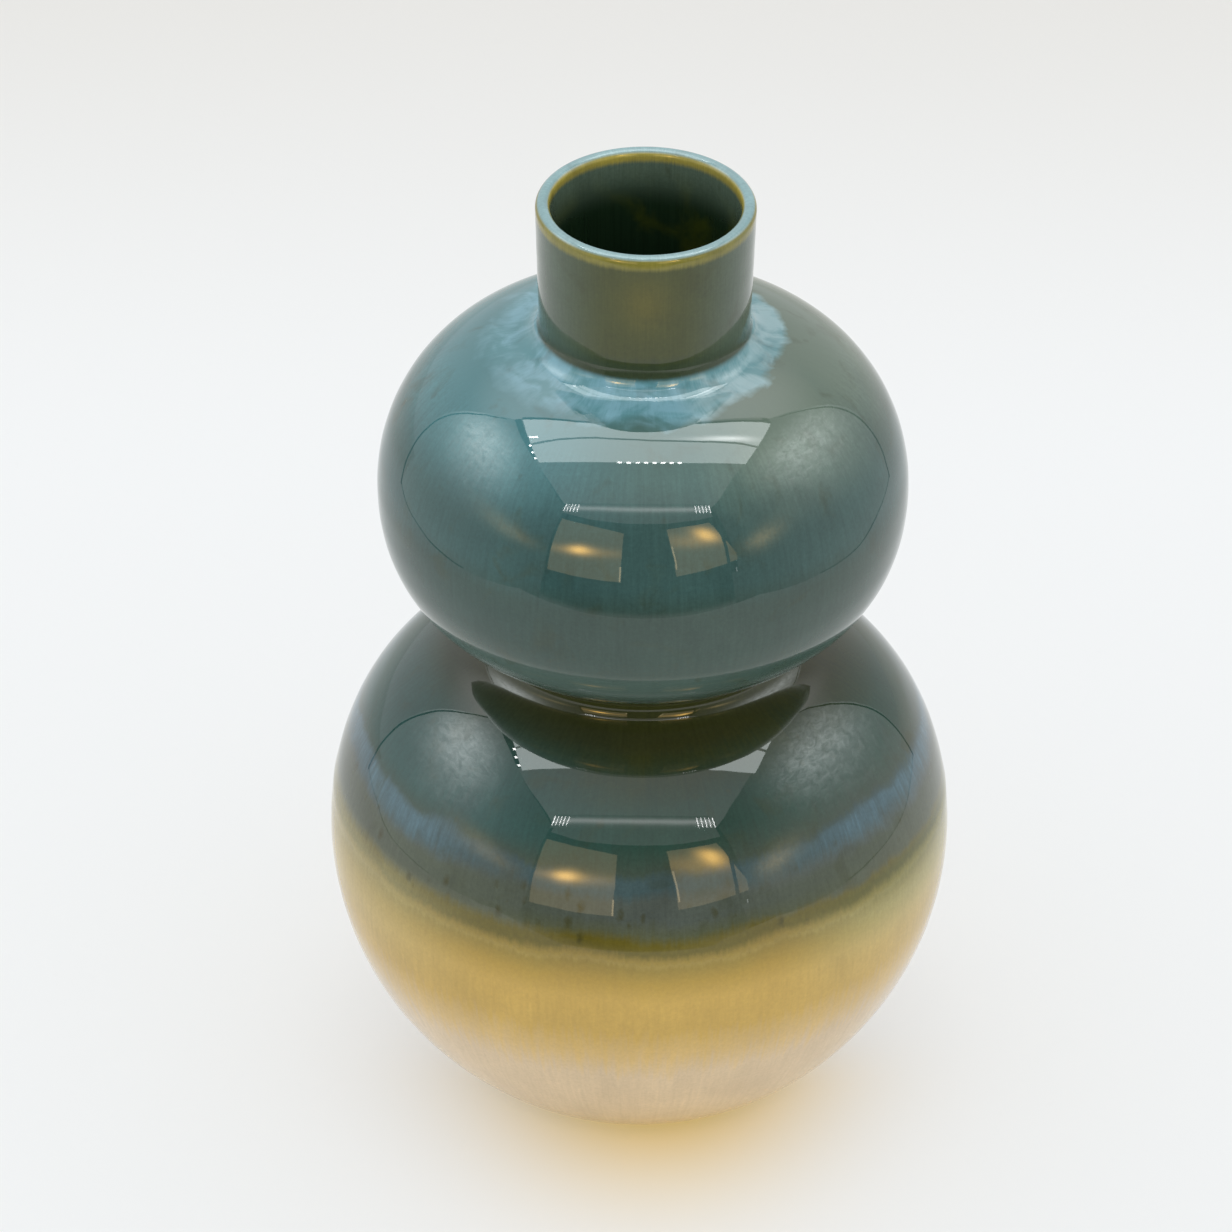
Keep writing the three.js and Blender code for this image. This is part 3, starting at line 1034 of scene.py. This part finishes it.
class VASE_OT_outer_glazes(Operator):
    """Coat the outside with the teal, ochre and cream glazes"""

    bl_idname = "vase.outer_glazes"
    bl_label = "Outer glazes"

    def execute(self, context):
        prepare_groups()
        layers = Layers(context.scene.vase_sizes)
        around = context.scene.wheel_marks.around
        coats = (
            ("teal_glaze", layers.lip_coat(), 0.02),
            ("ochre_glaze", layers.coat(OCHRE_FOOT, TEAL_FOOT), 0.04),
            ("cream_glaze", layers.coat(FOOT_HEIGHT, OCHRE_FOOT), 0.1),
        )
        for node, profile, gloss in coats:
            finish = glassy(node.replace("_", " ").capitalize(), "Glaze bands", gloss)
            turn_piece(context, node + "_coat", profile, finish, node, around)
        return {"FINISHED"}


class VASE_OT_inner_glaze(Operator):
    """Line the inside with dark green glaze"""

    bl_idname = "vase.inner_glaze"
    bl_label = "Inner glaze"

    def execute(self, context):
        prepare_groups()
        profile = Layers(context.scene.vase_sizes).liner()
        finish = glassy("Liner glaze", "Liner run", 0.1)
        around = context.scene.wheel_marks.around_clay
        turn_piece(context, "inner_glaze_coat", profile, finish, "inner_glaze", around)
        return {"FINISHED"}


def mesh_object(context, name, points, faces, material):
    """A plain mesh that belongs to the studio and not to the vase."""
    mesh = bpy.data.meshes.new(name)
    mesh.from_pydata(points, [], faces)
    mesh.materials.append(material)
    made = bpy.data.objects.new(name, mesh)
    context.scene.collection.objects.link(made)
    return made


def glow(name, shade, strength, spots=(), fade=None):
    """
    A glowing material for a card.

    A spot is its colour, strength, centre, two half-size vectors and how much it is crumpled. A fade gives
    two slopes from the front towards the back, and the share of the strength left at the first of them.
    """
    fold_size = 1 / 5
    material, tree = new_material(name)
    point, x, y, _ = here(tree)
    if fade:
        dim, full, share = fade
        strength = soft_step(y / abs(x), dim, full) * (strength * (1 - share)) + strength * share
    total = out(tree, "ShaderNodeEmission", {"Color": (*shade, 1), "Strength": strength})
    for spot_shade, spot_strength, centre, across, along, crumple in spots:
        offset = vectors("SUBTRACT", point, centre)
        reach = (noise(offset, across.length * fold_size, 3, Distortion=1.2) - 0.5) * crumple
        for axis in (across, along):
            reach += vectors("DOT_PRODUCT", offset, axis / axis.length_squared, output="Value") ** 2
        level = falling(reach) * spot_strength
        spot = out(tree, "ShaderNodeEmission", {"Color": (*spot_shade, 1), "Strength": level})
        total = out(tree, "ShaderNodeAddShader", {0: total, 1: spot})
    add(tree, "ShaderNodeOutputMaterial", {"Surface": total})
    material.cycles.emission_sampling = "NONE"
    return material


EYE_HEIGHT = 0.19
FRONT_LEFT, FRONT_RIGHT = -0.84, 0.74
FRONT_RIGHT_FOOT = 0.84
BEND_LEFT, BEND_RIGHT, BEND_BEHIND = -0.76, 0.8, 0.12
BACK_LEFT, BACK_RIGHT = (-0.68, -0.455), (0.62, -0.51)
WALL_FOOT, ROOF = -0.1, 1.05
WHITE = (1, 1, 1)
FABRIC = (0.93, 1, 1)
SEAM = (0.7, 0.9, 1)
PANE = (1, 0.78, 0.45)
EMBER = (1, 0.57, 0.12)
WARM = (1, 0.72, 0.3)
LEFT_STRENGTH, RIGHT_STRENGTH = 1.0, 0.85
WALL_FADE = (-1.2, 0.1, 0.35)
SWEEP_LEFT = ((-0.39, -0.466), (-0.5, -0.44), (-0.54, -0.15), (-0.56, 0.05), (-0.69, 0.38))
SWEEP_RIGHT = ((0.345, -0.466), (0.47, -0.44), (0.53, -0.15), (0.54, 0.05), (0.64, 0.44))


class Tent:
    """Places on a light tent so wide that the whole vase sees it alike, and the cards that show it."""

    def __init__(self, context, reach):
        self.context = context
        self.reach = reach

    def place(self, across, ahead, up, nearer=1.0):
        """A place by its slopes: to the right, towards the camera and up, with 1 for the tent's reach."""
        return Vector((across, -ahead, up)) * self.reach * nearer + Vector((0, 0, EYE_HEIGHT))

    def front(self, across, up, nearer=0.98):
        return self.place(across, 1, up, nearer)

    def ceiling(self, across, behind, nearer):
        """A place under the roof, by its slopes from straight above."""
        return self.place(across * ROOF, -behind * ROOF, ROOF, nearer)

    def line(self, start, end, width, side):
        """The outline of a narrow strip between two places, widened to one side."""
        shift = side * width * self.reach
        return [start, end, end + shift, start + shift]

    def card(self, name, outlines, material):
        """Flat cards that show in reflections only, so that they neither light nor hide anything."""
        points, faces = [], []
        for outline in outlines:
            faces.append(tuple(range(len(points), len(points) + len(outline))))
            points.extend(outline)
        made = mesh_object(self.context, name, points, faces, material)
        made.visible_camera = False
        made.visible_diffuse = False
        made.visible_transmission = False
        made.visible_volume_scatter = False
        made.visible_shadow = False


def tent_walls(tent):
    """The walls and the roof, with the soft light that the lamps throw on the walls."""
    up, deep = Vector((0, 0, tent.reach)), Vector((0, tent.reach, 0))
    left_spots = (
        (FABRIC, 4.0, tent.place(-0.74, -0.16, 0.6), 0.3 * deep, 0.26 * up - 0.06 * deep, 1.6),
        (WARM, 1.3, tent.place(-0.8, 0.5, 0.2), 0.28 * deep, 0.08 * up, 1.2),
    )
    right_spots = (
        (FABRIC, 2.8, tent.place(0.7, -0.14, 0.55), 0.3 * deep, 0.26 * up + 0.05 * deep, 2.4),
        (WARM, 2.2, tent.place(0.76, 0.61, 0.22), 0.2 * deep, 0.1 * up, 1.6),
    )
    walls = (
        ("left", FRONT_LEFT, FRONT_LEFT, BACK_LEFT, LEFT_STRENGTH, left_spots),
        ("right", FRONT_RIGHT_FOOT, FRONT_RIGHT, BACK_RIGHT, RIGHT_STRENGTH, right_spots),
    )
    for side, foot, top, back, strength, spots in walls:
        wall = [
            tent.place(foot, 1, WALL_FOOT), tent.place(*back, WALL_FOOT),
            tent.place(*back, ROOF), tent.place(top, 1, ROOF),
        ]
        material = glow(side.title() + " wall", FABRIC, strength, spots, WALL_FADE)
        tent.card("tent_wall_" + side, [wall], material)
    corners = (
        (FRONT_LEFT, 1), (FRONT_RIGHT, 1), (BEND_RIGHT, BEND_BEHIND),
        BACK_RIGHT, BACK_LEFT, (BEND_LEFT, BEND_BEHIND),
    )
    roof = [tent.place(*corner, ROOF) for corner in corners]
    tent.card("tent_roof", [roof], glow("Tent roof", WHITE, 1.15))


def tent_seams(tent):
    """The dark seams of the walls and the roof, and a glint beside the right one."""
    bend_out = 0.02
    roof_nearer, wall_nearer, glint_nearer = 0.99, 0.97, 0.96
    post_height, post_width = 1.15, 0.013
    right = Vector((1, 0, 0))
    seams = []
    for front, elbow, back, inward in (
        (FRONT_LEFT, BEND_LEFT - bend_out, BACK_LEFT, right),
        (FRONT_RIGHT, BEND_RIGHT + bend_out, BACK_RIGHT, -right),
    ):
        middle = tent.place(elbow, BEND_BEHIND, ROOF, roof_nearer)
        seams.append(tent.line(tent.place(front, 1, ROOF, roof_nearer), middle, 0.025, inward))
        seams.append(tent.line(middle, tent.place(*back, ROOF, roof_nearer), 0.07, inward))
        low, high = (tent.front(front, up, wall_nearer) for up in (WALL_FOOT, ROOF))
        seams.append(tent.line(low, high, 0.035, inward))
    for x, y in (SWEEP_LEFT[-1], SWEEP_RIGHT[-1]):
        foot, far_foot = Vector((x, y, 0)), Vector((x, y + post_width, 0))
        rise = Vector((0, 0, post_height))
        seams.append([foot, foot + rise, far_foot + rise, far_foot])
    tent.card("tent_seams", seams, glow("Tent seams", SEAM, 0.1))
    top, foot = (tent.front(0.8, up, glint_nearer) for up in (0.02, -0.16))
    glint = tent.line(top, foot, 0.012, right)
    tent.card("corner_glint", [glint], glow("Corner glint", FABRIC, 3))


def roof_lamp(tent):
    """The lamp in the roof, in two halves with a wavy dark line between them. Returns its dots."""
    front, back, rim_width = -0.15, 0.42, 0.03
    left, right, narrowing = -0.69, 0.76, 0.3
    fold = (0.1, 0.15, 0.19, 0.17, 0.15, 0.13, 0.09)
    half_fold = 0.012
    dot = 0.011
    lamp_nearer, dots_nearer = 0.96, 0.94
    columns = [left + (right - left) * i / (len(fold) - 1) for i in range(len(fold))]
    middle = list(zip(columns, fold))

    def under_roof(x, y):
        return tent.ceiling(x * (1 - narrowing * max(y - front, 0)), y, lamp_nearer)

    def strip(start, end):
        return [under_roof(*p) for p in start] + [under_roof(*p) for p in reversed(end)]

    front_line, back_line, outer_line = ([(x, y) for x in columns] for y in (front, back, back + rim_width))
    near_half = strip([(x, y - half_fold) for x, y in middle], front_line)
    far_half = strip([(x, y + half_fold) for x, y in middle], back_line)
    wide, thin = Vector((0.17 * tent.reach, 0, 0)), Vector((0, 0.035 * tent.reach, 0))
    flare = (WHITE, 9, under_roof(0.44, 0.19), wide, thin, 0.5)
    tent.card("roof_lamp", [near_half, far_half], glow("Roof lamp", FABRIC, 5.7, (flare,)))
    tent.card("lamp_rim", [strip(outer_line, back_line)], glow("Lamp rim", SEAM, 0.15))

    dots = [(-0.6, 0.19), (-0.575, 0.19), (-0.55, 0.19), (-0.65, 0.09), (-0.675, 0.0), (-0.69, -0.09)]
    dots += [(-0.12 + 0.045 * i, front) for i in range(8)]
    corners = ((-dot, -dot), (dot, -dot), (dot, dot), (-dot, dot))
    return [[tent.ceiling(x + a, y + b, dots_nearer) for a, b in corners] for x, y in dots]


def tent_lamps(tent):
    """The roof lamp, and the strip light above the opening with slanted marks at its ends."""
    height, ahead = 1.25, 1.02
    left, right, half_height = -0.835, 0.69, 0.15
    ticks, pitch = 5, 0.042
    tall, thick, lean = 0.1, 0.008, 0.024

    def outline(*places):
        return [Vector((x, -ahead, height + rise)) for x, rise in places]

    outlines = roof_lamp(tent)
    for start, way in ((left, 1), (right, -1)):
        for i in range(ticks):
            low = start + way * pitch * i
            high = low - way * lean
            outlines.append(outline((low, -tall), (low + thick, -tall), (high + thick, tall), (high, tall)))
    tent.card("lamp_dots", outlines, glow("Lamp dots", WHITE, 30))
    strip = outline((left, -half_height), (right, -half_height), (right, half_height), (left, half_height))
    bright_line = (WHITE, 2.9, Vector((0, -ahead, height)), Vector((40, 0, 0)), Vector((0, 0, 0.06)), 0)
    tent.card("light_strip", [strip], glow("Light strip", WHITE, 0.8, (bright_line,)))


def tent_front(tent):
    """The tent's opening: dark, with a flap along the top and a warm pane on either side."""
    across, rise = Vector((tent.reach, 0, 0)), Vector((0, 0, tent.reach))

    def sheet(name, nearer, material, *outlines):
        tent.card(name, [[tent.front(*p, nearer) for p in outline] for outline in outlines], material)

    opening = (
        (FRONT_LEFT, WALL_FOOT), (FRONT_RIGHT_FOOT, WALL_FOOT), (FRONT_RIGHT, ROOF), (FRONT_LEFT, ROOF),
    )
    flap = (
        (FRONT_LEFT, ROOF), (FRONT_LEFT, 0.92), (-0.5, 0.78), (-0.14, 0.72), (0.21, 0.72), (0.5, 0.78),
        (FRONT_RIGHT, 0.86), (FRONT_RIGHT, ROOF),
    )
    left_pane = ((-0.83, -0.19), (-0.155, -0.165), (-0.15, 0.56), (-0.81, 0.76))
    right_pane = ((0.25, 0.03), (0.86, 0.115), (0.63, 0.72), (0.205, 0.62))
    left_edge = ((-0.16, -0.06), (-0.148, -0.06), (-0.148, 0.12), (-0.16, 0.12))
    right_edge = ((0.25, 0.1), (0.262, 0.1), (0.237, 0.4), (0.225, 0.4))
    left_spots = (
        (EMBER, 14, tent.front(-0.51, 0.3), 0.1 * across, 0.065 * rise, 0.2),
        (EMBER, 3.2, tent.front(-0.5, 0.28), 0.3 * across - 0.08 * rise, 0.07 * rise, 0.4),
    )
    right_spots = (
        (EMBER, 14, tent.front(0.55, 0.54), 0.09 * across + 0.03 * rise, 0.085 * rise, 0.3),
        (EMBER, 2.6, tent.front(0.45, 0.45), 0.2 * across + 0.12 * rise, 0.09 * rise, 0.5),
    )
    sheet("tent_opening", 1, glow("Tent opening", SEAM, 0.06), opening)
    sheet("tent_flap", 0.985, glow("Tent flap", WHITE, 0.7), flap)
    sheet("left_pane", 0.98, glow("Left pane", PANE, 1.4, left_spots), left_pane)
    sheet("right_pane", 0.98, glow("Right pane", PANE, 1.4, right_spots), right_pane)
    sheet("pane_edges", 0.975, glow("Pane edges", PANE, 5), left_edge, right_edge)


def tent_aprons(tent):
    """What lies beyond the pale sweep: dark in front, and the walls' own tone at the sides."""
    lift = Vector((0, 0, 0.003))
    far_out, edge_out = 18, 1.025

    def flat(place, scale=1.0):
        return Vector((*place, 0)) * scale + lift

    def beyond(places, scale, raised=Vector()):
        pairs = zip(places, places[1:])
        return [[p + raised for p in (flat(a), flat(a, scale), flat(b, scale), flat(b))] for a, b in pairs]

    near_edge = Vector((0, SWEEP_LEFT[0][1], 0))
    gleam = (WHITE, 0.5, near_edge, Vector((4, 0, 0)), Vector((0, 0.07, 0)), 0)
    front = beyond((SWEEP_LEFT[0], SWEEP_RIGHT[0]), far_out)
    tent.card("apron_front", front, glow("Front apron", SEAM, 0.06, (gleam,)))
    left, right = beyond(SWEEP_LEFT, far_out), beyond(SWEEP_RIGHT, far_out)
    tent.card("apron_left", left, glow("Left apron", FABRIC, LEFT_STRENGTH, fade=WALL_FADE))
    tent.card("apron_right", right, glow("Right apron", FABRIC, RIGHT_STRENGTH, fade=WALL_FADE))
    edges = beyond(SWEEP_LEFT[2:], edge_out, lift) + beyond(SWEEP_RIGHT[2:], edge_out, lift)
    tent.card("sweep_edge", edges, glow("Sweep edge", SEAM, 0.15))


def studio_floor(context, studio):
    """A wide pale floor that keeps the vase's shadow, with the warm light that the amber glaze throws."""
    middle, half_width, warmth = 0.01, 0.058, 1.74
    half_size = 14
    material, tree = new_material("Pale sweep")
    point, x, y, _ = here(tree)
    away = vectors("LENGTH", point, output="Value") / studio.warm_reach
    level = falling(away**2 + ((x - middle) / half_width) ** 2)
    warm = maths("MULTIPLY", level * soft_step(y, 0.01, -0.03), warmth, clamp=True)
    plain = blend(soft_step(y, 0.3, 0.75), studio.floor_colour, studio.floor_far)
    tint = blend(warm, plain, studio.floor_warmth)
    matt = {"Base Color": tint, "Roughness": 0.9, "Specular IOR Level": 0.1}
    cloth = out(tree, "ShaderNodeBsdfPrincipled", matt)
    own = out(tree, "ShaderNodeEmission", {"Color": tint, "Strength": 1})
    rays = named(add(tree, "ShaderNodeLightPath"))
    seen = maths("MAXIMUM", rays["Is Camera Ray"], rays["Is Glossy Ray"])
    shader = out(tree, "ShaderNodeMixShader", {0: seen * studio.floor_glow, 1: cloth, 2: own})
    add(tree, "ShaderNodeOutputMaterial", {"Surface": shader})
    material.cycles.emission_sampling = "NONE"
    corners = [(half_size * x, half_size * y, 0) for x, y in ((-1, -1), (1, -1), (1, 1), (-1, 1))]
    mesh_object(context, "floor", corners, [(0, 1, 2, 3)], material)


def studio_lights(context, studio):
    """An all-round light, which mirrors as a tent brighter near its roof, and a soft light overhead."""
    right_loss = -0.25
    world = bpy.data.worlds.new("Studio")
    world.use_nodes = True
    context.scene.world = world
    tree = world.node_tree
    tree.nodes.clear()
    rays = named(add(tree, "ShaderNodeLightPath"))
    across, _, up = xyz(out(tree, "ShaderNodeTexCoord", output="Generated"))
    fabric = soft_step(up, 0.5, 0.85) * studio.fabric_rise + studio.fabric
    fabric *= soft_step(across, 0.1, 0.7) * right_loss + 1
    mirrored = rays["Is Glossy Ray"] * (fabric - studio.sky)
    seen = rays["Is Camera Ray"] * (studio.backdrop - studio.sky)
    light = {"Color": (*WHITE, 1), "Strength": mirrored + seen + studio.sky}
    add(tree, "ShaderNodeOutputWorld", {"Surface": out(tree, "ShaderNodeBackground", light)})

    lamp = bpy.data.lights.new("Overhead", "AREA")
    lamp.shape = "SQUARE"
    lamp.size = 3
    lamp.energy = studio.overhead
    overhead = bpy.data.objects.new("Overhead", lamp)
    overhead.location = (0, 0.2, 2.6)
    overhead.visible_glossy = False
    overhead.visible_camera = False
    context.scene.collection.objects.link(overhead)


def swung(first, second, turn):
    """Two directions square to each other, turned so that the first moves towards the second."""
    return (
        first * math.cos(turn) + second * math.sin(turn),
        second * math.cos(turn) - first * math.sin(turn),
    )


def studio_camera(context, studio):
    """The camera at the photograph's angle."""
    ahead = Vector((0, math.cos(studio.elevation), -math.sin(studio.elevation)))
    right = Vector((1, 0, 0))
    above = right.cross(ahead)
    place = Vector((0, 0, studio.aim_height)) - ahead * studio.distance
    ahead, right = swung(ahead, right, studio.yaw)
    right, above = swung(right, above, studio.roll)
    lens = bpy.data.cameras.new("Camera")
    lens.sensor_width = 36
    lens.lens = studio.lens
    lens.clip_end = 100
    camera = bpy.data.objects.new("Camera", lens)
    turned = Matrix((right, above, -ahead)).transposed()
    camera.matrix_world = Matrix.Translation(place) @ turned.to_4x4()
    context.scene.collection.objects.link(camera)
    context.scene.camera = camera


class VASE_OT_studio(Operator):
    """Set up the pale floor, the soft light, the light tent's reflections and the camera"""

    bl_idname = "vase.studio"
    bl_label = "Studio"

    def execute(self, context):
        studio = context.scene.studio_setup
        studio_floor(context, studio)
        studio_lights(context, studio)
        tent = Tent(context, studio.tent_reach)
        for part in (tent_walls, tent_seams, tent_lamps, tent_front, tent_aprons):
            part(tent)
        studio_camera(context, studio)
        context.scene.view_settings.view_transform = "Standard"
        return {"FINISHED"}


class VASE_PT_panel(Panel):
    """Sizes, colours and steps of the vase"""

    bl_idname = "VASE_PT_panel"
    bl_label = "Stoneware vase"
    bl_space_type = "VIEW_3D"
    bl_region_type = "UI"
    bl_category = "Vase"

    def draw(self, context):
        for group in GROUPS:
            settings = getattr(context.scene, group)
            box = self.layout.box()
            for name in settings.__annotations__:
                box.prop(settings, name)
        for operator in OPERATORS:
            self.layout.operator(operator.bl_idname)


OPERATORS = (VASE_OT_clay_sections, VASE_OT_outer_glazes, VASE_OT_inner_glaze, VASE_OT_studio)
GROUPS = {
    "vase_sizes": VaseSizes,
    "wheel_marks": WheelMarks,
    "glaze_colours": GlazeColours,
    "studio_setup": StudioSetup,
}


def register():
    """Registers the classes and hangs the property groups on the scene."""
    for kind in (*GROUPS.values(), *OPERATORS, VASE_PT_panel):
        bpy.utils.register_class(kind)
    for name, kind in GROUPS.items():
        setattr(bpy.types.Scene, name, PointerProperty(type=kind))


def unregister():
    """Takes everything off again."""
    for name in GROUPS:
        delattr(bpy.types.Scene, name)
    for kind in (VASE_PT_panel, *reversed(OPERATORS), *reversed(GROUPS.values())):
        bpy.utils.unregister_class(kind)


def main():
    """Builds the vase and its studio."""
    register()
    bpy.ops.vase.clay_sections()
    bpy.ops.vase.inner_glaze()
    bpy.ops.vase.outer_glazes()
    bpy.ops.vase.studio()


if __name__ == "__main__":
    main()
